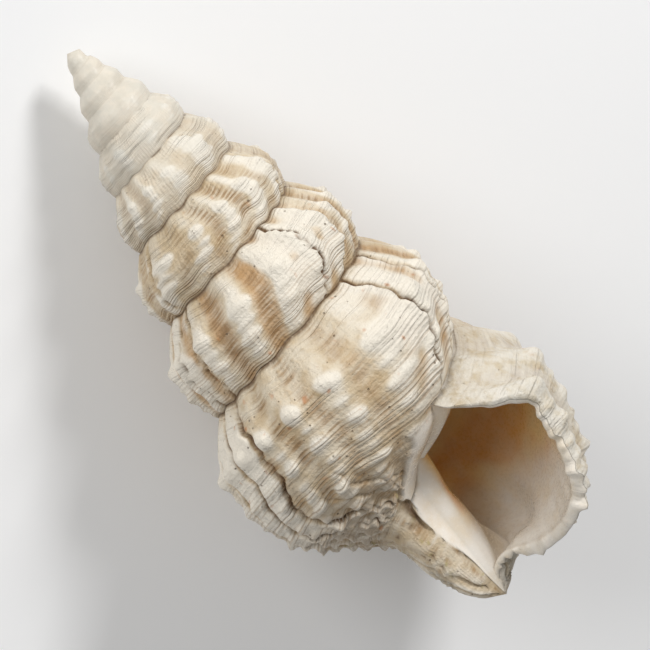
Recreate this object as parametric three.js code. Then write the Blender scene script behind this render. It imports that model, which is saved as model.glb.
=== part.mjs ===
// A spired sea snail shell, one hollow piece, lying on its back with its mouth up. Millimetres, +Z up.
// The wall is laid down as a real shell is: a rim travels down a right-handed spiral, growing as it goes.
// "turn" counts whole turns from the first suture, and "across" runs down the whorl at one turn:
// 0 at the upper suture, 1 at the lower suture, 2 where the base meets the neck, 3 at the canal's tip.
import * as THREE from "three";

// Growth along the spiral.
const FIRST_TURN = -0.6;
const LAST_TURN = 8.166;
const APEX_TURN = -1.6;
const SPIRE_ORIGIN = 125.26;
const APEX_HEIGHT = 120;
const SUTURE_DROP = 8.29;
const GROWTH_RATE = 1.33;
const SUTURE_RADIUS = [2.27, 0.606, 0.228];
const SHOULDER_RADIUS = [2.92, 1.115, 0.264];
const LIP_DESCENT = 4.4;
const LIP_DIP = 3.0;
const LIP_LAG = 0.062;
const LAG_TURNS = 0.9;
const LAG_ACROSS = 0.45;

// Where along the spiral the outline changes: the shoulder climbs, the inner pillar gives way to the neck, the
// neck to the lip, the last suture dives, and past FREE_TURNS no later whorl covers the base.
const SHOULDER_TURNS = [5.5, 7];
const NECK_TURNS = [7.27, 7.44];
const LIP_TURN = 7.75;
const DIVE_TURN = 7.9;
const DIVE_END = [8.17, 8.34];
const FREE_TURNS = [7.17, 7.26];

// The whorl's outline.
const SHOULDER_PLACE = [0.54, 0.42];
const RAMP_CURVE = 1.35;
const SIDE_CURVE = 2.8;
const LIP_SIDE_CURVE = 1.9;
const NECK_DROP = 12.5;
const CANAL_RISE = 5.0;
const CANAL_BEND = 0.6;
const BASE_REACH = 0.38;

// The neck and the base, as the inner pillar, the outer neck and the finished lip have them: the radius
// where base and neck meet, the neck's two guide points and the base's last guide point. The base's first
// guide point follows the side's own slope, so the two join smoothly.
const PILLAR = { meet: 3.7, neck: [[3.1, 0.33], [2.3, 0.75]], base: [0.14, 0.8] };
const NECK = { meet: 10.2, neck: [[7.4, 0.32], [8.6, 0.79]], base: [0.18, 0.665] };
const LIP = { meet: 7.4, neck: [[5.1, -0.2], [1.1, -0.09]], base: [0.38, 1.4] };

// Relief: swellings along the shoulder, and the thickened edges of former lips.
const SWELLINGS_PER_TURN = 9;
const SWELLING = 0.035;
const FORMER_LIPS = [4.16, 5.1, 5.4, 6.14, 6.41, 7.1, 7.43];
const FORMER_LIP = 0.045;
const FORMER_LIP_WIDTH = 0.045;
const RELIEF_END = 1.5;
const LIP_FLARE = 1.1;
const FLARE_TURNS = 0.035;

// The wall and the hollow.
const WALL = 0.35;
const WALL_PER_RADIUS = 0.05;
const LIP_THINNER = 0.4;
const LIP_THIN_TURNS = 0.116;
const LIP_ROUNDING = 0.3;
const FUNNEL = 4.5;
const FUNNEL_REACH = 0.05;
const FUNNEL_END = [0.6, 1.3];
const FUNNEL_ACROSS = [0.3, 1.3, 1.7, 2.4];
const FUNNEL_TOP = 0.3;
const CANAL_WALL = 0.8;
const CANAL_DEPTHS = [0.05, 0.5];
const PILLAR_WALL = 0.3;
const PILLAR_CURVE = 0.6;
const TOP_GAP = 0.15;
const BACK_GAP = 0.08;
const HOLLOW_END = 3;
const MOUTH_DEPTH = 0.3;

// How finely the surface is faceted.
const STEPS_PER_TURN = 30;
const HOLLOW_STEPS_PER_TURN = 12;
const SIDE_STEPS = 8;
const BASE_STEPS = 5;
const NECK_STEPS = 3;

// How the shell lies: turned about its own axis onto its back, then tipped until the spire touches the ground.
const LIE_TURN = 170.5;
const LIE_TIP = 15.0;

const clamp = (x) => Math.min(Math.max(x, 0), 1);
const mix = (a, b, k) => a + (b - a) * k;
const ease = (from, to, x) => {
  const k = clamp((x - from) / (to - from));
  return k * k * (3 - 2 * k);
};
const quadratic = ([c0, c1, c2], x) => c0 + c1 * x + c2 * x * x;

// The youngest whorls close in to a blunt apex.
const apexTaper = (turn) => (turn < 0 ? Math.sqrt(1 - (turn / APEX_TURN) ** 2) : 1);

// 1 where the last suture dives to the mouth, 0 elsewhere.
const lipDive = (turn) => ease(DIVE_TURN, LAST_TURN, turn) * (1 - ease(...DIVE_END, turn));

function suture(turn) {
  const radius = quadratic(SUTURE_RADIUS, turn) * apexTaper(turn) - LIP_DIP * lipDive(turn);
  const height = SPIRE_ORIGIN - SUTURE_DROP * GROWTH_RATE ** turn - LIP_DESCENT * lipDive(turn);
  return [radius, height];
}

const shoulderRadius = (turn) => quadratic(SHOULDER_RADIUS, turn) * apexTaper(turn);
const shoulderPlace = (turn) => mix(...SHOULDER_PLACE, ease(...SHOULDER_TURNS, turn));
const wallThickness = (turn) =>
  (WALL + WALL_PER_RADIUS * shoulderRadius(turn)) * (1 - LIP_THINNER * ease(LAST_TURN - LIP_THIN_TURNS, LAST_TURN, turn));

// The outline's guide values at a turn, passing from the pillar to the neck to the lip.
function outline(turn) {
  const toNeck = ease(...NECK_TURNS, turn);
  const toLip = ease(LIP_TURN, LAST_TURN, turn);
  const blend = (pick) => mix(mix(pick(PILLAR), pick(NECK), toNeck), pick(LIP), toLip);
  const pair = (name, i) => [blend((o) => o[name][i][0]), blend((o) => o[name][i][1])];
  const small = Math.min(1, shoulderRadius(turn) / shoulderRadius(7));
  const meetHeight = mix(SPIRE_ORIGIN - NECK_DROP * GROWTH_RATE ** turn, CANAL_RISE, toLip);
  return {
    meet: [blend((o) => o.meet) * small, meetHeight],
    neck: [pair("neck", 0), pair("neck", 1)],
    base: [blend((o) => o.base[0]), blend((o) => o.base[1])],
  };
}

const cubic = (p0, p1, p2, p3, k) => {
  const m = 1 - k;
  const at = (i) => m ** 3 * p0[i] + 3 * m * m * k * p1[i] + 3 * m * k * k * p2[i] + k ** 3 * p3[i];
  return [at(0), at(1)];
};

// Radius and height of the plain whorl at a turn and a place across it.
function profile(turn, across) {
  const upper = suture(turn);
  const lower = suture(turn + 1);
  const shoulder = shoulderRadius(turn);
  const place = shoulderPlace(turn);
  const curve = mix(SIDE_CURVE, LIP_SIDE_CURVE, ease(LIP_TURN, LAST_TURN, turn));
  if (across <= 1) {
    const height = mix(upper[1], lower[1], across);
    if (across < place) {
      const ramp = 1 - (1 - across / place) ** RAMP_CURVE;
      return [mix(upper[0], shoulder, ramp), height];
    }
    const side = ((across - place) / (1 - place)) ** curve;
    return [mix(shoulder, lower[0], side), height];
  }
  const { meet, neck, base } = outline(turn);
  if (across <= 2) {
    const slope = [((lower[0] - shoulder) * curve) / (1 - place), lower[1] - upper[1]];
    const reach = (BASE_REACH * Math.hypot(meet[0] - lower[0], meet[1] - lower[1])) / Math.hypot(...slope);
    const first = [lower[0] + reach * slope[0], lower[1] + reach * slope[1]];
    const second = [mix(meet[0], lower[0], base[0]), mix(lower[1], meet[1], base[1])];
    return cubic(lower, first, second, meet, across - 1);
  }
  const [g1, g2] = neck.map(([radius, down]) => [radius, mix(meet[1], 0, down)]);
  return cubic(meet, g1, g2, [0, 0], across - 2);
}

// Relief standing proud of the plain whorl, zero at the sutures, on the neck and behind the mouth.
function relief(turn, across) {
  if (across >= 2 || turn < 0) return 0;
  const band = across < RELIEF_END ? Math.sin((Math.PI * across) / RELIEF_END) ** 2 : 0;
  const free = ease(...FREE_TURNS, turn);
  const covered = across >= 1 ? free : 1 - ease(0.9, 1, across) * (1 - free);
  const wave = Math.cos(2 * Math.PI * SWELLINGS_PER_TURN * turn);
  let rise = SWELLING * wave;
  for (const former of FORMER_LIPS) {
    rise += FORMER_LIP * Math.exp(-(((turn - former) / FORMER_LIP_WIDTH) ** 2));
  }
  const flare = LIP_FLARE * ease(LAST_TURN - FLARE_TURNS, LAST_TURN, turn) * ease(0.1, 0.4, across);
  return rise * band * covered * shoulderRadius(turn) + flare * (1 - ease(1.9, 2, across));
}

// The rim falls behind towards the base over the last turn, so the mouth opens outwards.
const lag = (turn, across) => LIP_LAG * ease(LAST_TURN - LAG_TURNS, LAST_TURN, turn) * ease(0, LAG_ACROSS, across);

// The outward normal in the section through the axis.
function normal(turn, across) {
  const step = 0.01;
  const a = profile(turn, Math.max(across - step, 0));
  const b = profile(turn, Math.min(across + step, 3));
  const [dr, dz] = [b[0] - a[0], b[1] - a[1]];
  const length = Math.hypot(dr, dz);
  return [-dz / length, dr / length];
}

// A point "out" millimetres proud of the whorl, as [x, y, z] with the apex at the top.
function place(turn, across, out) {
  const [radius, height] = profile(turn, across);
  const [nr, nz] = normal(turn, across);
  const angle = -2 * Math.PI * (turn - lag(turn, across));
  const r = Math.max(radius + out * nr, 0);
  const bend = CANAL_BEND * ease(1.6, 3, across);
  return [r * Math.cos(angle) - bend, r * Math.sin(angle), height + out * nz];
}

// The mesh is gathered here, with each place kept once.
const vertices = [];
const faces = [];
const known = new Map();
function vertex(point) {
  const key = point.map((x) => x.toFixed(4)).join(" ");
  if (!known.has(key)) {
    known.set(key, vertices.length);
    vertices.push(point);
  }
  return known.get(key);
}
function face(...corners) {
  if (new Set(corners).size === corners.length) faces.push(corners);
}
function quad(a, b, c, d) {
  face(a, c, b);
  face(a, d, c);
}

const range = (n, f) => Array.from({ length: n }, (_, i) => f(i));
const wholeTurns = Math.round((LAST_TURN - FIRST_TURN) * STEPS_PER_TURN);
const turnAt = (row) => LAST_TURN - (wholeTurns - row) / STEPS_PER_TURN;
const SIDE = range(SIDE_STEPS + 1, (i) => i / SIDE_STEPS);
const LOW = [
  ...range(BASE_STEPS, (i) => 1 + i / BASE_STEPS),
  ...range(NECK_STEPS + 1, (i) => 2 + i / NECK_STEPS),
];

// The outside: the side of every whorl, then the base and neck of the last one.
function skinRow(turn, acrosses) {
  return acrosses.map((across) => vertex(place(turn, across, relief(turn, across))));
}
function strip(rowA, rowB) {
  for (let i = 0; i + 1 < rowA.length; i++) quad(rowA[i], rowA[i + 1], rowB[i + 1], rowB[i]);
}
for (let row = 0; row < wholeTurns; row++) {
  strip(skinRow(turnAt(row), SIDE), skinRow(turnAt(row + 1), SIDE));
  if (row >= wholeTurns - STEPS_PER_TURN) {
    strip(skinRow(turnAt(row), LOW), skinRow(turnAt(row + 1), LOW));
  }
}

// The apex is a small cap on the first turn's upper edge.
const apex = vertex([0, 0, APEX_HEIGHT]);
for (let row = 0; row < STEPS_PER_TURN; row++) {
  const edge = [row, row + 1].map((r) => skinRow(turnAt(r), [0])[0]);
  face(apex, edge[1], edge[0]);
}
const firstRow = skinRow(turnAt(0), SIDE);
for (let i = 0; i + 1 < firstRow.length; i++) face(apex, firstRow[i], firstRow[i + 1]);

// The lip's inner edge meets the outside at both ends of the mouth.
const atMouth = (across) => Math.min(1, across / LIP_ROUNDING, (3 - across) / LIP_ROUNDING);

// The hollow: each ring runs down inside the outer wall and back up the pillar and the wall behind.
const RING_OUT = [...SIDE, ...LOW.slice(1)];
const RING_BACK = [...LOW].reverse().slice(1, -1);
function ring(depth) {
  const turn = LAST_TURN - depth;
  const deep = ease(0, MOUTH_DEPTH, depth);
  const wall = wallThickness(turn);
  const funnel = FUNNEL * (1 - Math.exp(-depth / FUNNEL_REACH)) * (1 - ease(...FUNNEL_END, depth));
  const outer = RING_OUT.map((across) => {
    const reach = mix(TOP_GAP * deep, 3 - deep, across / 3);
    const [widens, wide, closes, closed] = FUNNEL_ACROSS;
    const narrower = funnel * mix(FUNNEL_TOP, 1, ease(widens, wide, across)) * (1 - ease(closes, closed, across));
    return vertex(place(turn, reach, -wall * mix(atMouth(across), 1, deep) - narrower));
  });
  const back = [...RING_BACK, 1 + BACK_GAP].map((across) => {
    const [x, y, z] = place(turn - 1, Math.max(across, 1 + BACK_GAP * deep), wall * deep);
    if (across <= 2) return vertex([x, y, z]);
    const here = outline(turn).meet;
    const above = outline(turn - 1).meet;
    const up = 3 - across;
    const foot = mix(CANAL_WALL, here[0] + PILLAR_WALL * wall, ease(...CANAL_DEPTHS, depth));
    const radius = mix(foot, above[0] + PILLAR_WALL * wall, up ** PILLAR_CURVE);
    const height = mix(here[1] + wall, above[1], up);
    const angle = -2 * Math.PI * turn;
    const straight = [radius * Math.cos(angle), radius * Math.sin(angle), height];
    return vertex([x, y, z].map((c, i) => mix(c, straight[i], deep)));
  });
  return [...outer, ...back];
}
const rim = skinRow(LAST_TURN, RING_OUT);
const mouth = (() => {
  const wall = wallThickness(LAST_TURN);
  const outer = RING_OUT.map((across) => vertex(place(LAST_TURN, across, -wall * atMouth(across))));
  return [...outer, ...skinRow(LAST_TURN - 1, RING_BACK)];
})();
strip(rim, mouth.slice(0, rim.length));
const corner = vertex(place(LAST_TURN, 0, 0));
const rings = [[...mouth, corner]];
const hollowSteps = Math.round((LAST_TURN - HOLLOW_END) * HOLLOW_STEPS_PER_TURN);
for (let i = 1; i <= hollowSteps; i++) rings.push(ring(i / HOLLOW_STEPS_PER_TURN));
for (let i = 0; i + 1 < rings.length; i++) {
  const [a, b] = [rings[i], rings[i + 1]];
  for (let k = 0; k < a.length; k++) {
    const next = (k + 1) % a.length;
    quad(a[k], a[next], b[next], b[k]);
  }
}
const last = rings[rings.length - 1];
const middle = last.map((v) => vertices[v]).reduce((s, p) => s.map((x, i) => x + p[i] / last.length), [0, 0, 0]);
const end = vertex(middle);
for (let k = 0; k < last.length; k++) face(end, last[(k + 1) % last.length], last[k]);

const geometry = new THREE.BufferGeometry();
geometry.setAttribute("position", new THREE.Float32BufferAttribute(vertices.flat(), 3));
geometry.setIndex(faces.flat());
geometry.computeVertexNormals();

const material = new THREE.MeshStandardMaterial({
  color: 0xe3dbce,
  roughness: 0.75,
  metalness: 0,
  side: THREE.DoubleSide,
});
const shell = new THREE.Mesh(geometry, material);
shell.name = "shell";
shell.rotation.z = THREE.MathUtils.degToRad(LIE_TURN);

const tipped = new THREE.Group();
tipped.rotation.x = THREE.MathUtils.degToRad(90 + LIE_TIP);
tipped.add(shell);

const lying = new THREE.Group();
lying.rotation.z = Math.PI / 2;
lying.add(tipped);

// The row's origin is under the middle of the shell, on the ground.
const group = new THREE.Group();
group.add(lying);
group.updateMatrixWorld(true);
const extent = new THREE.Box3().setFromObject(group, true);
const centre = extent.getCenter(new THREE.Vector3());
group.position.set(-centre.x, -centre.y, -extent.min.z);

export default group;
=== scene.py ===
# %% [markdown]
# # A spired sea shell
# A snail builds its shell by adding a little wall at the rim, turning and growing all the while. This lesson
# does the same in Blender: a short row of points is extruded step by step along a spiral, and every new row
# is set by one growth law. The law then adds the cords, knobs and old lips of a beach-worn shell.

# %% [markdown]
# The frame holds the plain solid that this model stands for: its box, its floor and its one body. The box
# is measured at once, before anything is added, so that the finished shell can be placed in it.

# %% The frame
import math

import bmesh
import bpy
import numpy as np
from mathutils import Matrix, Vector


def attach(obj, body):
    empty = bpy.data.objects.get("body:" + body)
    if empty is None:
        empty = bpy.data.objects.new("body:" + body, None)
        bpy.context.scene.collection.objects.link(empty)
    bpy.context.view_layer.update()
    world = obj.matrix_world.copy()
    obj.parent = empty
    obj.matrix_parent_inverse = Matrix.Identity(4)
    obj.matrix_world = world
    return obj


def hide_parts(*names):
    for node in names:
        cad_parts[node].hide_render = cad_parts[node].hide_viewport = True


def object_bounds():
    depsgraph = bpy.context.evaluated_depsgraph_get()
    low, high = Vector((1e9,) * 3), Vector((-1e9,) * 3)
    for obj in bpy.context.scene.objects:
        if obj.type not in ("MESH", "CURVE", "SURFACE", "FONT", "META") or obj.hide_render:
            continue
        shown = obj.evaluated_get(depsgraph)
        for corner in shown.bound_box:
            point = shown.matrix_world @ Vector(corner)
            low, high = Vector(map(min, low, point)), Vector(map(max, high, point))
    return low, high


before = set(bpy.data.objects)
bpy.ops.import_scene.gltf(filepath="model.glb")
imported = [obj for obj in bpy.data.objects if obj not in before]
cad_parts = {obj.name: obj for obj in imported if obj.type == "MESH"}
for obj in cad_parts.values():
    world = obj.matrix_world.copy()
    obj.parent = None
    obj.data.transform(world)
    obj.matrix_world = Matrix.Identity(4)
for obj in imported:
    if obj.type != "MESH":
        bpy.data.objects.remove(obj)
cad_low, cad_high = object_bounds()
print("CAD box in mm:", [round(1000 * (b - a), 1) for a, b in zip(cad_low, cad_high)])

# %% [markdown]
# Every number of the growth law is in millimetres or in turns. A turn is one trip round the axis, counted
# from the first seam near the apex. "Across" runs down the whorl: 0 at the upper seam, 1 at the lower one,
# 2 where the base meets the neck and 3 at the tip of the canal. A shell could also be sculpted, but a law
# keeps every whorl in step with the one before it.

# %% The growth law's numbers
MM = 0.001
FIRST_TURN = -1.4
LAST_TURN = 8.166
APEX_TURN = -1.6
SPIRE_ORIGIN = 125.26
APEX_HEIGHT = 120.0
SUTURE_DROP = 8.29
GROWTH_RATE = 1.33
SUTURE_RADIUS = (2.27, 0.606, 0.228)
SHOULDER_RADIUS = (2.92, 1.115, 0.264)
LIP_DESCENT = 4.4
LIP_DIP = 3.0
LIP_LAG = 0.062
FRILL = 0.0022
RAMP_CURVE = 1.35
FOLDS_PER_TURN = 18
EARLY_FOLDS = 12
MORE_FOLDS_FROM = 5.6
SCALLOP = 0.22
SIDE_CURVE = 2.8
LIP_SIDE_CURVE = 1.9
NECK_DROP = 12.5
CANAL_RISE = 5.0
CANAL_BEND = 0.6
BASE_REACH = 0.38
PILLAR = {"meet": 3.7, "neck": ((3.1, 0.33), (2.3, 0.75)), "base": (0.14, 0.8)}
NECK = {"meet": 10.2, "neck": ((7.4, 0.32), (8.6, 0.79)), "base": (0.18, 0.665)}
LIP = {"meet": 7.4, "neck": ((5.1, -0.2), (1.1, -0.09)), "base": (0.38, 1.4)}
WALL = 0.35
WALL_PER_RADIUS = 0.05
LIP_THINNER = 0.4
LIP_FLARE = 1.1
LIP_WAVES = 0.3
FUNNEL = 4.5
FUNNEL_REACH = 0.05
CANAL_WALL = 0.8
MOUTH_DEPTH = 0.3
PILLAR_WALL = 0.3
PILLAR_WAIST = 0.75
PARIETAL = 1.3
HOLLOW_END = 3.0
LIE_TURN = 170.5
LIE_TIP = 15.0
SHOULDER_TURNS = (5.5, 7.0)
SHOULDER_PLACE = (0.54, 0.12)
NECK_TURNS = (7.27, 7.44)
LIP_TURN = 7.75
DIVE_TURN = 7.9
DIVE_END = (8.17, 8.34)
LIP_THIN_TURN = 8.05
LAG_TURNS = 0.9
LAG_ACROSS = 0.45
LIP_ROUNDING = 0.3
FUNNEL_END = (0.6, 1.3)
TOP_GAP = 0.15
BACK_GAP = 0.08
print("turns:", round(LAST_TURN - FIRST_TURN, 1), "height of the apex in mm:", APEX_HEIGHT)

# %% [markdown]
# Five small helpers carry the whole lesson: a blend, a soft step, a soft bump, a quadratic and a guided
# curve. They work on single numbers and on whole arrays alike, so one call can place thousands of points.

# %% Small helpers for curves
def mix(a, b, k):
    return a + (b - a) * k


def ease(start, end, x):
    k = np.clip((x - start) / (end - start), 0, 1)
    return k * k * (3 - 2 * k)


def bump(x, middle, width):
    return np.exp(-(((x - middle) / width) ** 2))


def quadratic(c, x):
    return c[0] + c[1] * x + c[2] * x * x


def cubic(p0, p1, p2, p3, k):
    m = 1 - k
    return m**3 * p0 + 3 * m * m * k * p1 + 3 * m * k * k * p2 + k**3 * p3


print("half a soft step:", ease(0, 1, 0.5), "the middle of a bump:", bump(2, 2, 1))

# %% [markdown]
# A real whorl is a tube laid against the one before it, and only its outer wall shows. Two seams give its
# top and bottom, a ramp climbs out to the shoulder, and the side falls to the lower seam. On the last turn
# a guided curve leads on over the base to the neck and the canal. The seam below one whorl is the seam
# above the next, so the whorls always meet.

# %% The plain whorl
def apex_taper(turn):
    return np.sqrt(1 - (np.minimum(turn, 0) / APEX_TURN) ** 2)


def lip_dive(turn):
    return ease(DIVE_TURN, LAST_TURN, turn) * (1 - ease(*DIVE_END, turn))


def fold_beat(turn, across):
    drift = 0.3 * np.sin(2 * math.pi * 2.3 * turn) + 0.12 * np.sin(14.2 * turn + 5 * across)
    late = np.maximum(turn - MORE_FOLDS_FROM, 0)
    beat = EARLY_FOLDS * turn + (FOLDS_PER_TURN - EARLY_FOLDS) * late
    return beat + 0.02 * FOLDS_PER_TURN * np.sin(math.pi * across) + drift


def suture(turn):
    radius = quadratic(SUTURE_RADIUS, turn) * apex_taper(turn) - LIP_DIP * lip_dive(turn)
    height = SPIRE_ORIGIN - SUTURE_DROP * GROWTH_RATE**turn - LIP_DESCENT * lip_dive(turn)
    waves = ease(2, 6, turn) * (1 - ease(8.1, LAST_TURN, turn))
    return radius, height + SCALLOP * waves * np.cos(2 * math.pi * fold_beat(turn, 0))


def shoulder_radius(turn):
    return quadratic(SHOULDER_RADIUS, turn) * apex_taper(turn)


def shoulder_place(turn):
    return SHOULDER_PLACE[0] - SHOULDER_PLACE[1] * ease(*SHOULDER_TURNS, turn)


def wall_thickness(turn):
    thinner = LIP_THINNER * ease(LIP_THIN_TURN, LAST_TURN, turn)
    return (WALL + WALL_PER_RADIUS * shoulder_radius(turn)) * (1 - thinner)


def outline(turn):
    to_neck = ease(*NECK_TURNS, turn)
    to_lip = ease(LIP_TURN, LAST_TURN, turn)

    def blend(pick):
        return mix(mix(pick(PILLAR), pick(NECK), to_neck), pick(LIP), to_lip)

    small = np.minimum(1, shoulder_radius(turn) / shoulder_radius(7))
    height = mix(SPIRE_ORIGIN - NECK_DROP * GROWTH_RATE**turn, CANAL_RISE, to_lip)
    meet = (blend(lambda o: o["meet"]) * small, height)
    neck = [[blend(lambda o, i=i, j=j: o["neck"][i][j]) for j in range(2)] for i in range(2)]
    base = [blend(lambda o, j=j: o["base"][j]) for j in range(2)]
    return meet, neck, base


def profile(turn, across):
    top_r, top_z = suture(turn)
    low_r, low_z = suture(turn + 1)
    shoulder = shoulder_radius(turn)
    place = shoulder_place(turn)
    curve = mix(SIDE_CURVE, LIP_SIDE_CURVE, ease(LIP_TURN, LAST_TURN, turn))
    v = np.clip(across, 0, 1)
    ramp = 1 - np.maximum(1 - v / place, 0) ** RAMP_CURVE
    side = (np.maximum(v - place, 0) / (1 - place)) ** curve
    radius = np.where(v < place, mix(top_r, shoulder, ramp), mix(shoulder, low_r, side))
    height = mix(top_z, low_z, v)

    (meet_r, meet_z), neck, base = outline(turn)
    slope_r, slope_z = (low_r - shoulder) * curve / (1 - place), low_z - top_z
    reach = BASE_REACH * np.hypot(meet_r - low_r, meet_z - low_z) / np.hypot(slope_r, slope_z)
    k = np.clip(across - 1, 0, 1)
    base_r = cubic(low_r, low_r + reach * slope_r, mix(meet_r, low_r, base[0]), meet_r, k)
    base_z = cubic(low_z, low_z + reach * slope_z, mix(low_z, meet_z, base[1]), meet_z, k)
    (r1, n1), (r2, n2) = neck
    k = np.clip(across - 2, 0, 1)
    neck_r = cubic(meet_r, r1, r2, 0, k)
    neck_z = cubic(meet_z, mix(meet_z, 0, n1), mix(meet_z, 0, n2), 0, k)
    radius = np.where(across > 2, neck_r, np.where(across > 1, base_r, radius))
    height = np.where(across > 2, neck_z, np.where(across > 1, base_z, height))
    return radius, height


def normal(turn, across):
    step = 0.01
    ra, za = profile(turn, np.maximum(across - step, 0))
    rb, zb = profile(turn, np.minimum(across + step, 3))
    length = np.hypot(rb - ra, zb - za)
    return -(zb - za) / length, (rb - ra) / length


def lag(turn, across):
    slow = LIP_LAG * ease(LAST_TURN - LAG_TURNS, LAST_TURN, turn) * ease(0, LAG_ACROSS, across)
    frill = np.sin(17 * across) + 0.7 * np.sin(41 * across + 1) + 0.5 * np.sin(67 * across)
    ragged = ease(0, 0.2, across) * (1 - ease(2.3, 3, across)) * ease(LAST_TURN - 0.06, LAST_TURN, turn)
    return slow + FRILL * frill * ragged


def shell_point(turn, across, out):
    radius, height = profile(turn, across)
    nr, nz = normal(turn, across)
    angle = -2 * math.pi * (turn - lag(turn, across))
    r = np.maximum(radius + out * nr, 0)
    bend = CANAL_BEND * ease(1.6, 3, across)
    return np.stack([r * np.cos(angle) - bend, r * np.sin(angle), height + out * nz], -1)


print("shoulder radius at the lip in mm:", round(float(shoulder_radius(LAST_TURN)), 1))

# %% [markdown]
# Relief is height above the plain whorl. Broad folds run down the shell, and wherever the snail rested it
# left an old lip: a raised edge with a dark crevice beside it. The stops give the turn, the depth and the
# bow of each old lip, and the cords give a place across, a width and a size.

# %% Cords, old lips and their sizes
CORDS = ((0.385, 0.055, 1.0), (0.55, 0.025, 0.35), (0.69, 0.045, 0.85), (0.84, 0.025, 0.4),
         (0.94, 0.025, 0.35), (1.05, 0.035, 1.0), (1.17, 0.03, 0.6), (1.29, 0.035, 1.1),
         (1.42, 0.03, 0.8), (1.55, 0.035, 1.0), (1.7, 0.035, 0.8), (1.84, 0.03, 0.6))
STOPS = ((4.165, 0.5, 0.03), (5.1, 0.7, 0.03), (5.4, 0.6, -0.01), (6.13, 1.2, 0.03), (6.19, 1.3, 0.03),
         (6.39, 0.7, 0.0), (6.42, 0.6, 0.0), (6.72, 0.5, 0.02), (7.09, 1.1, 0.03), (7.15, 1.3, 0.03),
         (7.405, 1.0, 0.03), (7.445, 0.9, 0.03), (7.49, 0.5, 0.03), (7.74, 0.7, 0.03), (7.98, 0.6, 0.02))
BASE_LINES = ((7.32, 0.5), (7.355, 0.4), (7.56, 0.5), (7.61, 0.35), (7.66, 0.5), (7.83, 0.5), (7.9, 0.4))
CALLUS = 0.7
CALLUS_EDGE = 7.222
PEBBLE = 0.07
CHINK = 1.1
LAMELLAE = 15


def folds(turn, across):
    strong = 0.8 + 0.3 * np.sin(2 * math.pi * 3.7 * turn + 1) + 0.2 * np.sin(23 * turn)
    return np.cos(2 * math.pi * fold_beat(turn, across)), strong


def stop_lines(turn, across):
    k = shoulder_radius(turn)
    for stop, depth, bow in STOPS:
        wobble = 0.003 * np.sin(19 * across + 40 * stop) + 0.0015 * np.sin(47 * across)
        line = turn - stop + bow * np.sin(math.pi * np.clip(across, 0, 1)) + 0.06 * ease(1.0, 1.6, across)
        fade = np.minimum(1, k / 20) * (1 - ease(1.6, 1.95, across))
        fade = fade * (0.75 + 0.25 * np.sin(13 * across + 9 * stop))
        yield (line + wobble) * 2 * math.pi * k, depth * fade


def base_lines(turn, across):
    k = shoulder_radius(turn)
    for stop, depth in BASE_LINES:
        line = turn - stop + 0.06 * ease(1.0, 1.6, across) + 0.004 * np.sin(23 * across + 40 * stop)
        yield line * 2 * math.pi * k, depth * ease(0.8, 1.1, across) * (1 - ease(1.75, 1.95, across))


print("cords:", len(CORDS), "old lips:", len(STOPS), "lines on the base:", len(BASE_LINES))

# %% [markdown]
# A glossy callus covers the inner side of the mouth, and the neck below it is built of overlapping scales.
# Both are written as functions of the same two labels, so they stay in place if the shell is made finer.

# %% Callus and neck scales
def callus(turn, across):
    edge = CALLUS_EDGE + 0.03 * ease(1.1, 1.5, across) + 0.09 * ease(1.45, 1.9, across)
    edge = edge - 0.04 * ease(2.2, 2.9, across)
    edge = edge + 0.006 * np.sin(9 * across)
    cover = (1 - ease(edge - 0.008, edge + 0.006, turn)) * ease(1.0, 1.12, across) * (turn > 7)
    chink = bump(turn, edge + 0.02, 0.014) * ease(1.85, 2.05, across) * (1 - ease(2.1, 2.3, across))
    return cover, chink * (1 - ease(2.8, 3, across))


def lamellae(turn, across):
    wander = 0.35 * np.sin(31 * turn + 3 * across) + 0.3 * np.sin(13 * across - 17 * turn)
    return np.mod(LAMELLAE * (turn + 0.42 * ease(1.6, 3, across)) + wander, 1)


print("callus edge at turn", CALLUS_EDGE, "with", LAMELLAE, "neck scales a turn")

# %% [markdown]
# Cords run round the shell and swell into knobs where they cross the folds. They could be modelled one by
# one, but a sum of soft bumps gives them all. The sum fades out at the seams, so that the whorls still meet.

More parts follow.
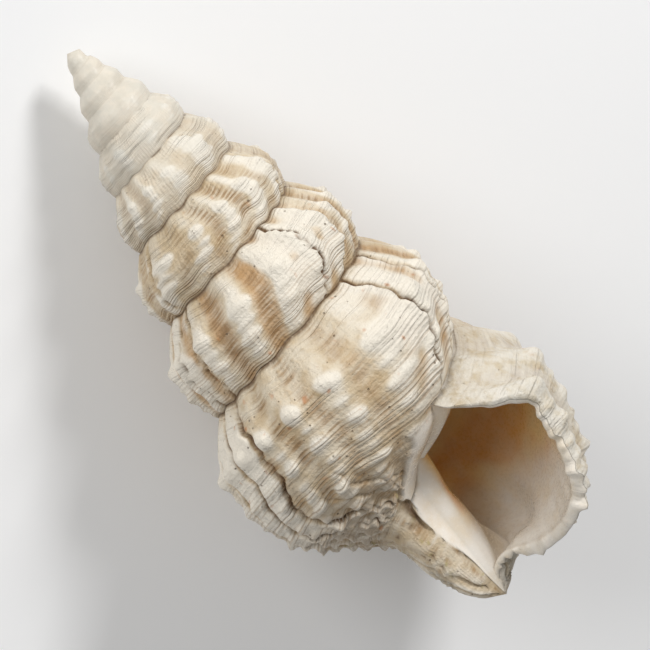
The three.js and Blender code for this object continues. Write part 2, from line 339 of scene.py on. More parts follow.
# %% All the relief together
def relief(turn, across):
    k = shoulder_radius(turn)
    grown = ease(0.8, 4.4, turn)
    free = ease(7.17, 7.26, turn)
    tucked = np.maximum(np.sin(math.pi * np.clip(across, 0, 1)), 0) ** 0.35
    low_shown = free * (1 - ease(1.95, 2.05, across))
    shown = np.where(across >= 1, low_shown, np.maximum(tucked, free * ease(0.5, 0.9, across)))
    wave, strong = folds(turn, across)
    fold = mix(mix(0.022, 0.011, ease(6.9, 7.2, turn)), 0.026, bump(turn, 6.45, 0.4)) * wave * strong
    rise = fold * k * grown * (1 - 0.7 * ease(0.8, 1.3, across)) * (1 - ease(1.5, 1.95, across))
    on_lip = ease(7.85, 8.0, turn) * ease(0.05, 0.3, across) * (1 - ease(0.7, 1.2, across))
    rise = rise + LIP_WAVES * wave * on_lip
    rise = rise + LIP_FLARE * ease(LAST_TURN - 0.035, LAST_TURN, turn) * ease(0.1, 0.4, across)
    for place, width, size in CORDS:
        swell = np.cos(2 * math.pi * (1.5 * fold_beat(turn, across) + 3.7 * place)) * ease(0.45, 0.8, place)
        knob = 0.014 + 0.03 * np.maximum(wave, -0.5) * strong + 0.012 * swell
        rise = rise + k * bump(across, place, width) * size * grown * knob
    pebble = np.sin(173 * turn + 9 * across) * np.sin(31 * across + 19 * turn)
    pebble = pebble + np.sin(97 * turn - 23 * across)
    rise = rise + PEBBLE * pebble * ease(4, 6, turn) * ease(0.1, 0.3, across) * (1 - ease(1.8, 2, across))
    rise = rise + 0.007 * k * (1 - grown) * bump(across, 0.75, 0.06)
    for d, depth in stop_lines(turn, across):
        groove = -0.75 * bump(d, 0, 0.4)
        step = 0.85 * ease(-0.1, 0.6, d) * (1 - ease(1, 15, d))
        collar = 0.35 * bump(d, -1.3, 0.9) + 0.25 * bump(d, 1.1, 0.7)
        rise = rise + depth * (groove + step + collar)
    for d, depth in base_lines(turn, across):
        rise = rise + depth * (0.6 * ease(-0.1, 0.5, d) * (1 - ease(0.8, 6, d)) - 0.6 * bump(d, 0, 0.35))
    cover, chink = callus(turn, across)
    scales = (0.85 + 0.3 * np.sin(29 * turn + 7 * across)) * (np.sin(math.pi * lamellae(turn, across)) - 0.5)
    scales = 1.1 * scales * ease(1.9, 2.1, across) * (1 - ease(2.8, 2.97, across))
    end = (1 - 0.5 * ease(2.05, 2.5, across)) * (1 - ease(2.75, 3, across))
    return (rise * shown + scales * free) * (1 - cover) + CALLUS * cover * end - CHINK * chink


row_relief = relief(np.linspace(6, 7, 500), np.full(500, 0.4))
print("relief on one whorl in mm:", row_relief.min().round(2), "to", row_relief.max().round(2))

# %% [markdown]
# A shell is a wall, not a solid. The hollow follows the same spiral one wall in: each ring goes down
# inside the outer wall and comes back up over the pillar and the older whorl behind it. A Solidify
# modifier would cross itself where whorls touch, so the inside is placed by the law as well. The ring label
# counts 0 to 3 down the outer wall and 3 to 5 back up.

# %% The hollow
def hollow_point(depth, ring):
    turn = LAST_TURN - depth
    deep = ease(0, MOUTH_DEPTH, depth)
    wall = wall_thickness(turn)
    at_edge = np.minimum(1, np.minimum(ring / LIP_ROUNDING, (3 - ring) / LIP_ROUNDING))
    funnel = (1 - np.exp(-depth / FUNNEL_REACH)) * (1 - ease(*FUNNEL_END, depth))
    funnel = FUNNEL * funnel * (0.3 + 0.7 * ease(0.3, 1.3, ring)) * (1 - ease(1.7, 2.4, ring))
    out = -wall * mix(np.maximum(at_edge, 0), 1, deep) - funnel
    outer = shell_point(turn, mix(TOP_GAP * deep, 3 - deep, np.clip(ring / 3, 0, 1)), out)

    across = np.clip(6 - ring, 1, 3)
    old = relief(np.full_like(across, LAST_TURN - 1), across)
    pad = PARIETAL * ease(0, 0.02, depth) * (1 - ease(0.2, 0.5, depth))
    pad = pad * ease(1.0, 1.2, across) * (1 - ease(1.9, 2.0, across))
    back = shell_point(turn - 1, np.maximum(across, 1 + BACK_GAP * deep), mix(old, wall, deep) + pad)
    here, above = outline(turn)[0], outline(turn - 1)[0]
    up = np.clip(3 - across, 0, 1)
    foot = mix(CANAL_WALL, here[0] + PILLAR_WALL * wall, ease(0.08, 0.6, depth))
    waist = PILLAR_WAIST * (bump(up, 0.25, 0.16) - bump(up, 0.62, 0.12)) * ease(0, 0.08, depth)
    radius = mix(foot, above[0] + PILLAR_WALL * wall, up**0.6) + waist
    height = mix(here[1] + wall, above[1], up)
    angle = -2 * math.pi * turn
    straight = np.stack([radius * np.cos(angle), radius * np.sin(angle), height], -1)
    blend = np.where(across > 2, deep, 0)[..., None]
    back = mix(back, straight, blend)

    first = shell_point(turn, TOP_GAP * deep, -wall * deep)
    last = shell_point(turn - 1, 1 + BACK_GAP * deep, wall * deep)
    corner = (first + last) / 2
    outer = mix(corner, outer, ease(0, 0.12, ring)[..., None])
    back = mix(corner, back, ease(5, 4.88, ring)[..., None])
    return np.where(ring[..., None] <= 3, outer, back)


print("wall at the lip in mm:", round(float(wall_thickness(LAST_TURN)), 2))

# %% [markdown]
# One function now places any point of the shell from its two labels. Skin, lip and hollow follow one
# another along the spiral, so the labels simply count on past the lip: over its rounded edge first, and
# then into the mouth.

# %% One law for every point
LIP_LENGTH = 0.1


def lip_point(edge, ring):
    turn = np.full_like(ring, LAST_TURN)
    at_edge = np.minimum(1, np.minimum(ring / LIP_ROUNDING, (3 - ring) / LIP_ROUNDING))
    wall = wall_thickness(turn) * np.maximum(at_edge, 0)
    rim = relief(turn, ring)
    out = mix(rim, -wall, (1 - np.cos(math.pi * edge)) / 2)
    point = shell_point(turn, ring, out)
    angle = -2 * math.pi * (turn - lag(turn, ring))
    forward = 0.5 * wall * np.sin(math.pi * edge)
    point[..., 0] += forward * np.sin(angle)
    point[..., 1] -= forward * np.cos(angle)
    return point


def law(along, across):
    along = np.asarray(along, float)
    across = np.asarray(across, float)
    turn = np.minimum(along, LAST_TURN)
    skin = shell_point(turn, np.minimum(across, 3), relief(turn, across))
    edge = np.clip((along - LAST_TURN) / LIP_LENGTH, 0, 1)
    lip = lip_point(edge, np.clip(across, 0, 3))
    inside = hollow_point(np.maximum(along - LAST_TURN - LIP_LENGTH, 0), across)
    past = (along > LAST_TURN + 1e-6)[..., None]
    deep = (along > LAST_TURN + LIP_LENGTH - 1e-6)[..., None]
    return np.where(deep, inside, np.where(past, lip, skin))


print("the canal's tip in mm:", law([LAST_TURN], [3])[0].round(1))

# %% [markdown]
# The mesh grows as the shell did. A row of points is extruded by one step, the new points get their
# labels, and the law sets them in place. The labels are kept in a UV layer, so the materials can follow
# the growth too. The side of every whorl and the base of the last one grow apart and are welded at the
# seam.

# %% Growing the mesh
STEPS_PER_TURN = 80
SIDE_STEPS = 22
BASE_STEPS = 11
NECK_STEPS = 5
LIP_STEPS = 4
HOLLOW_STEPS_PER_TURN = 24
side = [i / SIDE_STEPS for i in range(SIDE_STEPS + 1)]
low = [1 + i / BASE_STEPS for i in range(BASE_STEPS)] + [2 + i / NECK_STEPS for i in range(NECK_STEPS + 1)]

bm = bmesh.new()
uv = bm.loops.layers.uv.new("growth")


def start_chain(labels):
    points = law([a for a, c in labels], [c for a, c in labels])
    verts = [bm.verts.new(p) for p in points]
    edges = [bm.edges.new(pair) for pair in zip(verts, verts[1:])]
    return verts, edges, dict(zip(verts, labels))


def extrude_chain(verts, edges, label, step, closing=None):
    made = bmesh.ops.extrude_edge_only(bm, edges=edges)["geom"]
    new_verts = {g for g in made if isinstance(g, bmesh.types.BMVert)}
    new_edges = [g for g in made if isinstance(g, bmesh.types.BMEdge) and set(g.verts) <= new_verts]
    follower = {}
    for v in verts:
        for e in v.link_edges:
            other = e.other_vert(v)
            if other in new_verts:
                follower[v] = other
    for v in verts:
        along, across = label[v]
        label[follower[v]] = (along + step, across)
    row = [follower[v] for v in verts]
    for v, p in zip(row, law([label[v][0] for v in row], [label[v][1] for v in row])):
        v.co = p
    for f in (g for g in made if isinstance(g, bmesh.types.BMFace)):
        corners = [label[loop.vert] for loop in f.loops]
        wraps = closing is not None and max(c for a, c in corners) > closing - 1
        for loop, (a, c) in zip(f.loops, corners):
            loop[uv].uv = (a, closing if wraps and c == 0 else c)
    return row, new_edges


def grow(labels, steps, step):
    verts, edges, label = start_chain(labels)
    for _ in range(steps):
        verts, edges = extrude_chain(verts, edges, label, step)


rows = round((LAST_TURN - FIRST_TURN) * STEPS_PER_TURN)
first = LAST_TURN - rows / STEPS_PER_TURN
grow([(first, c) for c in side], rows, 1 / STEPS_PER_TURN)
grow([(LAST_TURN - 1, c) for c in low], STEPS_PER_TURN, 1 / STEPS_PER_TURN)
rim = [(LAST_TURN, c) for c in side + low[1:]]
grow(rim, LIP_STEPS, LIP_LENGTH / LIP_STEPS)
bmesh.ops.remove_doubles(bm, verts=bm.verts, dist=2e-4)
bmesh.ops.dissolve_degenerate(bm, edges=bm.edges, dist=1e-5)
print("skin and lip:", len(bm.faces), "faces,", sum(e.is_boundary for e in bm.edges), "open edges")

# %% [markdown]
# Two openings are left. The small one at the apex gets a fan of faces, as the first tiny whorl is closed
# on a real shell. The big one is the mouth, and its points are labelled for the next step.

# %% Closing the apex
def label_at(v):
    return [tuple(loop[uv].uv) for loop in v.link_loops]


open_edges = [e for e in bm.edges if e.is_boundary]
mouth, top = [], []
for e in open_edges:
    oldest = max(a for v in e.verts for a, c in label_at(v))
    (mouth if oldest > LAST_TURN - 1.01 else top).append(e)
print("mouth", len(mouth), "apex", len(top))
apex = bm.verts.new((0, 0, APEX_HEIGHT))
for e in top:
    f = bm.faces.new((apex, *e.verts))
    for loop in f.loops:
        loop[uv].uv = (first, 0)

ring_label = {}
for e in mouth:
    for v in e.verts:
        labels = label_at(v)
        lipped = [c for a, c in labels if a > LAST_TURN + LIP_LENGTH - 1e-4]
        back = [6 - c for a, c in labels if abs(a - LAST_TURN + 1) < 1e-4 and c >= 1]
        across = lipped[0] if lipped else back[0]
        ring_label[v] = (LAST_TURN + LIP_LENGTH, 0.0 if across > 4.999 or across < 1e-5 else across)

# %% [markdown]
# The edge of the mouth is extruded inwards, ring by ring, until the hollow ends high in the spire, where
# another fan of faces closes it.

# %% Growing the hollow
verts = list(ring_label)
edges = mouth
steps = round((LAST_TURN - HOLLOW_END) * HOLLOW_STEPS_PER_TURN)
for _ in range(steps):
    verts, edges = extrude_chain(verts, edges, ring_label, 1 / HOLLOW_STEPS_PER_TURN, closing=5.0)
middle = sum((v.co for v in verts), Vector()) / len(verts)
end = bm.verts.new(middle)
for e in edges:
    f = bm.faces.new((end, *e.verts))
    for loop in f.loops:
        loop[uv].uv = (LAST_TURN + LIP_LENGTH + steps / HOLLOW_STEPS_PER_TURN, 2)
print("coarse:", len(bm.faces), "faces,", sum(e.is_boundary for e in bm.edges), "open edges")

# %% [markdown]
# The later whorls are larger, so they need more faces for the same detail. Cutting every face would waste
# most of them on the tiny first whorls. So faces are cut once past one turn and again past another, and
# every point is then set afresh by the law, relief included.

# %% Finer where the shell is bigger
FINE_TURNS = (4.3, 6.95)


def middle_label(f):
    return sum(loop[uv].uv[0] for loop in f.loops) / len(f.loops)


for start in FINE_TURNS:
    chosen = [f for f in bm.faces if start < middle_label(f) < LAST_TURN + LIP_LENGTH + 0.2]
    cuts = {e for f in chosen for e in f.edges}
    bmesh.ops.subdivide_edges(bm, edges=list(cuts), cuts=1, use_grid_fill=True)
fixed = {apex, end}
loose = [v for v in bm.verts if v not in fixed]
labels = np.array([v.link_loops[0][uv].uv for v in loose])
for v, p in zip(loose, law(labels[:, 0], labels[:, 1])):
    v.co = p
bmesh.ops.recalc_face_normals(bm, faces=bm.faces)
print("fine:", len(bm.faces), "faces")

# %% [markdown]
# Dirt and painted shade lie in the crevices, tan streaks and painted shade in the valleys, gloss on the
# callus, and brown deep in the mouth. The same functions that shaped these places now mark every point, so
# the finish always fits the shape. The crown mark is how far a point stands out of the plain whorl or lies
# below it; it places the painted highlight on the knob tops and the painted shade below them.

# %% Marks for the materials
BROWN_HEIGHTS = (11.0, 20.0)


def wear_and_shade_marks(along, across):
    skin = along <= LAST_TURN + LIP_LENGTH * mix(0.5, 0.1, ease(0.3, 0.9, across))
    turn = np.minimum(along, LAST_TURN)
    low = np.minimum(across, 3)
    wave, strong = folds(turn, low)
    crevice = np.zeros_like(along)
    for d, depth in stop_lines(turn, low):
        crevice = np.maximum(crevice, depth * bump(d, -0.05, 0.42))
    for d, depth in base_lines(turn, low):
        crevice = np.maximum(crevice, depth * bump(d, -0.05, 0.35))
    cover, chink = callus(turn, low)
    # Painted shade: the seams and the chink under the callus edge are added to the crevice mark, so they
    # darken too.
    seam = np.where(low < 0.5, bump(low, 0, 0.03), 0) + np.where(turn < 7.17, bump(low, 1, 0.02), 0)
    seam = 0.65 * seam * ease(1.5, 5, turn)
    scale_edge = bump(lamellae(turn, low), 0, 0.08) + bump(lamellae(turn, low), 1, 0.08)
    neck = scale_edge * ease(1.75, 2.0, low) * (1 - ease(2.8, 2.95, low)) * (turn > 7.17)
    crevice = np.maximum(crevice, (0.4 + 0.25 * np.sin(21 * turn + 17 * low)) * neck)
    crevice = np.maximum(crevice * (1 - cover), np.maximum(seam, 0.7 * chink))
    # Painted shade: the valley mark darkens the low side of each fold, together with the tan streaks that
    # lie there.
    valley = (0.5 - 0.5 * wave) * strong * (1 - cover)
    ring = np.maximum(across, 0)
    depth = np.maximum(along - LAST_TURN - 0.5 * LIP_LENGTH, 0)
    inner = np.where(skin, 0, ease(0.0, 0.09, depth))
    brown = inner * ease(*BROWN_HEIGHTS, law(along, across)[:, 2]) * ease(0.02, 0.15, depth)
    brown = brown * np.where(ring > 3, ease(0.03, 0.15, depth), 1)
    glaze = np.where(skin, cover, np.where(ring > 3, 1, 0.6))
    crown = np.clip(relief(turn, low) / (0.035 * shoulder_radius(turn)), -1, 1) * skin * ease(1, 3, turn)
    marks = {"crown": crown, "crevice": crevice * skin, "valley": valley * skin}
    marks.update(glaze=glaze, inner=inner, brown=brown)
    return marks


print("marks:", ", ".join(wear_and_shade_marks(labels[:1, 0], labels[:1, 1])))

# %% [markdown]
# A loose shell rolls until it rests on its back and its spire. It is turned about its own axis, tipped
# until the spire touches the ground, and moved into the frame's box. The turn is put into the mesh itself,
# so the object stays at the origin.

# %% Laying it down
lie = (
    Matrix.Rotation(math.pi / 2, 4, "Z")
    @ Matrix.Rotation(math.radians(90 + LIE_TIP), 4, "X")
    @ Matrix.Rotation(math.radians(LIE_TURN), 4, "Z")
    @ Matrix.Scale(MM, 4)
)
bmesh.ops.transform(bm, matrix=lie, verts=bm.verts)
mesh = bpy.data.meshes.new("shell_wall")
order = {v: i for i, v in enumerate(bm.verts)}
spots = {name: np.zeros(len(order), np.float32) for name in wear_and_shade_marks(labels[:1, 0], labels[:1, 1])}
where = [order[v] for v in loose]
for name, values in wear_and_shade_marks(labels[:, 0], labels[:, 1]).items():
    spots[name][where] = values
bm.to_mesh(mesh)
bm.free()
for name, values in spots.items():
    mesh.attributes.new(name, "FLOAT", "POINT").data.foreach_set("value", values)
co = np.array([v.co for v in mesh.vertices])
mid = (co.min(0) + co.max(0)) / 2
shift = ((cad_low + cad_high) / 2) - Vector(mid)
shift.z = cad_low.z - co[:, 2].min()
mesh.transform(Matrix.Translation(shift))
for p in mesh.polygons:
    p.use_smooth = True
shell = bpy.data.objects.new("shell_wall", mesh)
bpy.context.scene.collection.objects.link(shell)
mesh.calc_loop_triangles()
print("triangles:", len(mesh.loop_triangles))

# %% [markdown]
# One material covers the whole shell. Its colours are named here by what they are on the shell, and the
# two growth labels are read from the UV layer.

# %% An empty material
def colour(red, green, blue):
    return tuple(((c / 255 + 0.055) / 1.055) ** 2.4 for c in (red, green, blue)) + (1,)


CREAM = colour(220, 207, 184)
DARK_CREAM = colour(203, 182, 148)
SAND = colour(194, 168, 128)
VALLEY_TAN_AND_SHADE = colour(168, 132, 88)
STREAK_TAN = colour(176, 148, 110)
WARM_TAN = colour(190, 143, 88)
CORD_SHADOW = colour(146, 112, 72)
KNOB_HIGHLIGHT = colour(238, 231, 217)
YOUNG_GREY = colour(214, 211, 201)
YOUNG_WHITE = colour(228, 222, 210)
BASE_BROWN = colour(156, 128, 90)
THREAD_BROWN = colour(150, 118, 78)
ORANGE = colour(188, 118, 58)
MOSS = colour(170, 156, 92)
CREVICE_DIRT_AND_SHADE = colour(108, 80, 50)
PIT_BROWN = colour(120, 96, 70)
LIP_WHITE = colour(216, 211, 200)
LIP_SAND = colour(196, 183, 158)
MILK = colour(252, 245, 234)
WARM_MILK = colour(243, 229, 206)
RUST_LIGHT = colour(255, 222, 156)
RUST = colour(240, 184, 112)

mat = bpy.data.materials.new("worn_shell")
mat.use_nodes = True
tree = mat.node_tree
bsdf = tree.nodes["Principled BSDF"]
where_node = tree.nodes.new("ShaderNodeTexCoord").outputs["Object"]
uv_node = tree.nodes.new("ShaderNodeUVMap")
uv_node.uv_map = "growth"
split = tree.nodes.new("ShaderNodeSeparateXYZ")
tree.links.new(uv_node.outputs["UV"], split.inputs[0])
along_out, across_out = split.outputs[0], split.outputs[1]
print("nodes so far:", len(tree.nodes))

# %% [markdown]
# The finish is built from small nodes: sums, soft steps, noises and tints. A short helper for each keeps
# the recipe below readable, one layer to a line.

# %% Node helpers
def plug(socket, value):
    if isinstance(value, bpy.types.NodeSocket):
        tree.links.new(value, socket)
    else:
        socket.default_value = value


def calc(kind, *values, clamp=False):
    node = tree.nodes.new("ShaderNodeMath")
    node.operation = kind
    node.use_clamp = clamp
    for socket, value in zip(node.inputs, values):
        plug(socket, value)
    return node.outputs[0]


def grain(size_mm, detail, rough):
    node = tree.nodes.new("ShaderNodeTexNoise")
    node.inputs["Scale"].default_value = 1 / (size_mm * MM)
    node.inputs["Detail"].default_value = detail
    node.inputs["Roughness"].default_value = rough
    plug(node.inputs["Vector"], where_node)
    return node.outputs["Fac"]


def attribute(name):
    node = tree.nodes.new("ShaderNodeAttribute")
    node.attribute_name = name
    return node.outputs["Fac"]


def remap(value, low_value, high_value, out_low=0.0, out_high=1.0):
    node = tree.nodes.new("ShaderNodeMapRange")
    node.interpolation_type = "SMOOTHSTEP"
    for socket, v in zip(node.inputs[:5], (value, low_value, high_value, out_low, out_high)):
        plug(socket, v)
    return node.outputs[0]


def tint(factor, base, top):
    node = tree.nodes.new("ShaderNodeMix")
    node.data_type = "RGBA"
    plug(node.inputs["Factor"], factor)
    plug(node.inputs["A"], base)
    plug(node.inputs["B"], top)
    return node.outputs["Result"]


def grown_noise(along_scale, across_scale):
    join = tree.nodes.new("ShaderNodeCombineXYZ")
    plug(join.inputs[0], calc("MULTIPLY", along_out, along_scale))
    plug(join.inputs[1], calc("MULTIPLY", across_out, across_scale))
    node = tree.nodes.new("ShaderNodeTexNoise")
    node.inputs["Scale"].default_value = 1.0
    node.inputs["Detail"].default_value = 2.0
    plug(node.inputs["Vector"], join.outputs[0])
    return node.outputs["Fac"]


print("nodes so far:", len(tree.nodes))

# %% [markdown]
# The patterns are noises of two kinds. Some fill space, like clouds and blotches. Others follow the growth
# labels, so that bands and threads run round the shell and streaks run down it.

# %% Patterns the finish is made from
crevice, valley, glaze = attribute("crevice"), attribute("valley"), attribute("glaze")
inner, brown, crown = attribute("inner"), attribute("brown"), attribute("crown")
bare = calc("SUBTRACT", 1.0, calc("MAXIMUM", glaze, inner), clamp=True)

THREADS = 30
LINES_PER_TURN = 110
WARM_TURN = 6.6
cloud = grain(7, 4, 0.6)
blotch = grain(2.6, 3, 0.6)
fine = grain(0.55, 3, 0.65)
bands = grown_noise(4, 30)
patches = grown_noise(5, 4)
streak = grown_noise(70, 3)
old = remap(along_out, 3.0, 5.5)
thread_beat = calc("ADD", calc("MULTIPLY", across_out, 2 * math.pi * THREADS), calc("MULTIPLY", bands, 8))
thread = calc("SINE", thread_beat)
print("nodes so far:", len(tree.nodes))

# %% [markdown]
# The worn wall is cream. Tan streaks and painted shade lie in the valleys, painted shade lies between the
# cords, the tops of the knobs get a painted highlight, the young whorls stay pale and the base is browner.

# %% Cream, tan, painted shade and painted highlight
hue = tint(remap(cloud, 0.38, 0.66), CREAM, DARK_CREAM)
blotched = calc("MULTIPLY", remap(blotch, 0.5, 0.72), remap(along_out, 1.0, 5.5, 0.2, 0.55))
hue = tint(blotched, hue, SAND)
# Tan streaks and painted shade in the fold valleys of the older whorls.
stain_and_shade = calc("MULTIPLY", remap(valley, 0.3, 1.0), calc("MULTIPLY", remap(bands, 0.4, 0.68), old))
hue = tint(calc("MULTIPLY", stain_and_shade, 0.75), hue, VALLEY_TAN_AND_SHADE)
streaked = calc("MULTIPLY", remap(streak, 0.52, 0.75), calc("MULTIPLY", old, 0.28))
hue = tint(streaked, hue, STREAK_TAN)
from_warm_turn = calc("ABSOLUTE", calc("SUBTRACT", along_out, WARM_TURN))
warm = calc("MULTIPLY", remap(from_warm_turn, 0.75, 0.2), remap(valley, 0.25, 0.9))
hue = tint(calc("MULTIPLY", warm, remap(cloud, 0.3, 0.6, 0.2, 0.8)), hue, WARM_TAN)
# Painted shade: where the relief lies below the plain whorl, between cords and knobs, the wall is darkened.
sunk_shade = calc("MULTIPLY", remap(crown, 0.1, -0.8), remap(bands, 0.35, 0.6, 0.3, 1.0))
sunk_shade = calc("MULTIPLY", sunk_shade, remap(along_out, 4.2, 6.0, 0.25, 0.95))
sunk_shade = calc("MULTIPLY", sunk_shade, remap(across_out, 1.75, 2.0, 1.0, 0.35))
hue = tint(sunk_shade, hue, CORD_SHADOW)
# Painted highlight: the knob tops, where the relief stands out most, are lightened.
hue = tint(calc("MULTIPLY", remap(crown, 0.1, 0.7), 0.85), hue, KNOB_HIGHLIGHT)
young_hue = tint(remap(blotch, 0.35, 0.65), YOUNG_GREY, YOUNG_WHITE)
hue = tint(remap(along_out, 5.4, 2.8, 0.0, 0.72), hue, young_hue)
low_side = calc("MULTIPLY", remap(across_out, 0.8, 1.5), remap(blotch, 0.3, 0.65, 0.2, 0.6))
low_side = calc("MULTIPLY", low_side, remap(across_out, 1.8, 2.1, 1.0, 0.2))
hue = tint(low_side, hue, BASE_BROWN)
print("nodes so far:", len(tree.nodes))

# %% [markdown]
# The sea leaves brown lines between the threads, orange spots, a green tinge on the base, dirt in every
# crevice, and small bored pits. The crevice colour is also painted shade in the old lips, seams and the
# chink under the callus edge.

# %% Stains, dirt with painted crevice shade, and pits
thread_dirt = calc("MULTIPLY", remap(thread, 0.0, -0.9), remap(across_out, 0.45, 0.75))
thread_place = calc("MULTIPLY", remap(bands, 0.35, 0.6), remap(across_out, 1.9, 1.6))
thread_dirt = calc("MULTIPLY", thread_dirt, thread_place)
hue = tint(calc("MULTIPLY", thread_dirt, remap(along_out, 2.0, 5.0, 0.2, 0.5)), hue, THREAD_BROWN)
orange = calc("MULTIPLY", remap(grain(2.2, 1, 0.4), 0.7, 0.84), remap(along_out, 4.0, 6.0))
hue = tint(calc("MULTIPLY", orange, 0.75), hue, ORANGE)
moss = calc("MULTIPLY", remap(grain(1.9, 2, 0.5), 0.6, 0.75), remap(across_out, 1.2, 1.6))
hue = tint(calc("MULTIPLY", moss, 0.6), hue, MOSS)
# Dirt and painted shade: the crevice mark darkens the old lips, seams, neck scales and the chink under the
# callus.
dirt_and_shade = calc("MULTIPLY", remap(crevice, 0.12, 0.75), remap(blotch, 0.3, 0.5, 0.45, 1.0))
hue = tint(dirt_and_shade, hue, CREVICE_DIRT_AND_SHADE)
specks = tree.nodes.new("ShaderNodeTexVoronoi")
specks.inputs["Scale"].default_value = 1 / (1.5 * MM)
plug(specks.inputs["Vector"], where_node)
pit = calc("MULTIPLY", remap(specks.outputs["Distance"], 0.16, 0.08), remap(blotch, 0.5, 0.6))
hue = tint(calc("MULTIPLY", pit, calc("MULTIPLY", old, 0.7)), hue, PIT_BROWN)
print("nodes so far:", len(tree.nodes))

# %% [markdown]
# The lip is a paler grey white, the callus is milky like porcelain, and deep in the mouth the wall turns a
# warm brown.

# %% Lip, callus and inside
lip_hue = tint(remap(blotch, 0.4, 0.7), LIP_WHITE, LIP_SAND)
hue = tint(calc("MULTIPLY", remap(along_out, 7.9, 8.1), 0.7), hue, lip_hue)
milk = tint(remap(cloud, 0.4, 0.7), MILK, WARM_MILK)
hue = tint(glaze, hue, milk)
rust = tint(remap(grain(9, 2, 0.5), 0.35, 0.65), RUST_LIGHT, RUST)
hue = tint(calc("MULTIPLY", brown, remap(cloud, 0.3, 0.65, 0.75, 1.0)), hue, rust)
plug(bsdf.inputs["Base Color"], hue)
print("nodes so far:", len(tree.nodes))

# %% [markdown]
# Gloss comes from the roughness: chalky outside, smooth on the callus and inside. Threads, growth lines
# and pits are too fine for the mesh, so they are a bump.

# %% Gloss and the finest relief
shine = remap(fine, 0.3, 0.7, 0.36, 0.6)
plug(bsdf.inputs["Roughness"], calc("SUBTRACT", shine, calc("MULTIPLY", glaze, 0.28)))

thread_rise = calc("MULTIPLY", remap(bands, 0.4, 0.62, 0.02, 0.1), remap(patches, 0.42, 0.62, 0.15, 1.0))
thread_rise = calc("MULTIPLY", thread_rise, remap(across_out, 1.7, 2.1, 1.0, 0.0))
threads = calc("MULTIPLY", thread, thread_rise)
line_beat = calc("MULTIPLY", along_out, 2 * math.pi * LINES_PER_TURN)
line_beat = calc("ADD", line_beat, calc("MULTIPLY", cloud, 14))
lines = calc("MULTIPLY", calc("SINE", line_beat), remap(blotch, 0.35, 0.65, 0.0, 0.03))
height = calc("MULTIPLY", calc("ADD", threads, lines), calc("MULTIPLY", bare, remap(along_out, 1.5, 4.0)))
worn_rise = calc("ADD", calc("MULTIPLY", bare, remap(along_out, 2.5, 6.0, 0.12, 0.55)), 0.02)
height = calc("ADD", height, calc("MULTIPLY", calc("ADD", blotch, calc("MULTIPLY", fine, 0.35)), worn_rise))
height = calc("SUBTRACT", height, calc("MULTIPLY", pit, calc("MULTIPLY", calc("MULTIPLY", bare, old), 0.25)))
height = calc("SUBTRACT", height, calc("MULTIPLY", crevice, 0.3))
bumps = tree.nodes.new("ShaderNodeBump")
bumps.inputs["Distance"].default_value = MM
plug(bumps.inputs["Height"], height)
tree.links.new(bumps.outputs["Normal"], bsdf.inputs["Normal"])
mesh.materials.append(mat)
print("nodes so far:", len(tree.nodes))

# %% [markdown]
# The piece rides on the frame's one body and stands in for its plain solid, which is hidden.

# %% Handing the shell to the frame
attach(shell, "root")
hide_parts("shell")
print("materials:", [m.name for m in mesh.materials])

# %% [markdown]
# A plain pale floor catches the shadow. It belongs to the stage and not to the shell.

# %% The floor
bm = bmesh.new()
FLOOR_HALF = 1.5
bmesh.ops.create_grid(bm, x_segments=1, y_segments=1, size=FLOOR_HALF)
floor_mesh = bpy.data.meshes.new("floor")
bm.to_mesh(floor_mesh)
bm.free()
floor = bpy.data.objects.new("floor", floor_mesh)
bpy.context.scene.collection.objects.link(floor)
floor_mat = bpy.data.materials.new("pale_floor")
floor_mat.use_nodes = True
floor_inputs = floor_mat.node_tree.nodes["Principled BSDF"].inputs
floor_inputs["Base Color"].default_value = (0.95, 0.95, 0.95, 1)
floor_inputs["Roughness"].default_value = 0.9
floor_mesh.materials.append(floor_mat)
print("floor:", 2 * FLOOR_HALF, "m square")

# %% [markdown]
# The camera looks down on the lying shell, straight into the mouth, and is rolled so that the apex is at
# the upper left. It stands far off with a long lens, so that the far end looks no smaller.

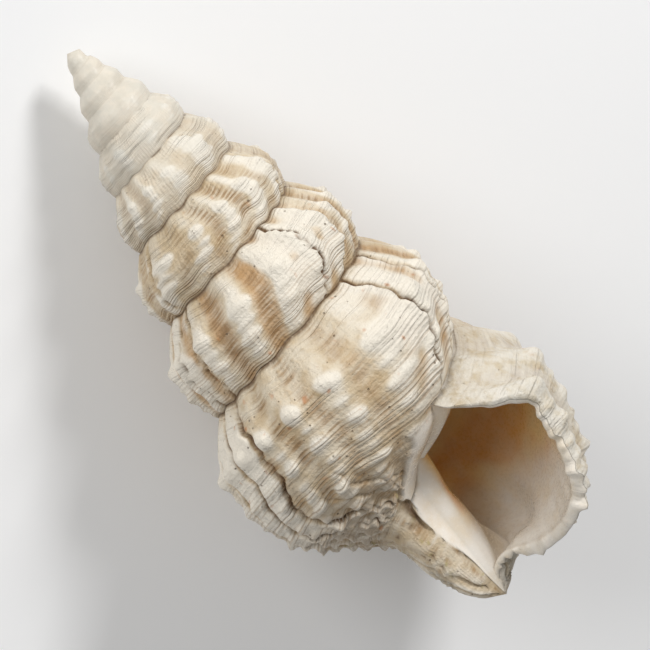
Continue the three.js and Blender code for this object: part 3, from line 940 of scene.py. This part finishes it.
# %% The camera
turned = lie.to_3x3().normalized()
CAMERA_TILT = math.radians(5)
view = (turned @ Vector((0, math.cos(CAMERA_TILT), -math.sin(CAMERA_TILT)))).normalized()
up_shell = (turned @ Vector((0, 0, 1))).normalized()
right_shell = view.cross(up_shell).normalized()
up_shell = right_shell.cross(view).normalized()
CAMERA_ROLL = math.radians(39.06)
up = up_shell * math.cos(CAMERA_ROLL) + right_shell * math.sin(CAMERA_ROLL)
right = view.cross(up).normalized()
AIM = Vector((1.6, 0, 58.5))
AIM_RIGHT, AIM_DOWN = 0.0037, 0.00025
target = (lie @ AIM) + shift + right * AIM_RIGHT - up * AIM_DOWN
CAMERA_DISTANCE = 0.8
FRAME_WIDTH = 0.1114
cam_data = bpy.data.cameras.new("camera")
SENSOR_MM = 36
cam_data.sensor_width = SENSOR_MM
cam_data.lens = SENSOR_MM * CAMERA_DISTANCE / FRAME_WIDTH
cam_data.clip_start = 0.01
cam = bpy.data.objects.new("camera", cam_data)
bpy.context.scene.collection.objects.link(cam)
basis = Matrix((right, up, -view)).transposed().to_4x4()
cam.matrix_world = Matrix.Translation(target - view * CAMERA_DISTANCE) @ basis
bpy.context.scene.camera = cam
print("camera height in m:", round(cam.location.z, 3))

# %% [markdown]
# A small key light from the upper right gives the knobs their shadows. A larger, softer fill opens up the
# mouth, and a pale sky lights the rest evenly.

# %% The light
SKY_STRENGTH = 0.32
LIGHT_DISTANCE = 0.9
world = bpy.data.worlds.new("studio")
bpy.context.scene.world = world
world.use_nodes = True
world.node_tree.nodes["Background"].inputs["Color"].default_value = (1, 1, 1, 1)
world.node_tree.nodes["Background"].inputs["Strength"].default_value = SKY_STRENGTH


def area_light(name, place, size, power):
    data = bpy.data.lights.new(name, "AREA")
    data.size = size
    data.energy = power
    light = bpy.data.objects.new(name, data)
    bpy.context.scene.collection.objects.link(light)
    light.location = place
    light.rotation_euler = (-Vector(place)).to_track_quat("-Z", "Y").to_euler()


key = (right * 0.6 + up * 0.75 - view * 0.75).normalized() * LIGHT_DISTANCE
area_light("key", key, size=0.2, power=4.5)
fill = (-right * 0.6 + up * 0.3 - view * 1.0).normalized() * LIGHT_DISTANCE
area_light("fill", fill, size=0.5, power=3.2)
bpy.context.scene.view_settings.view_transform = "Standard"
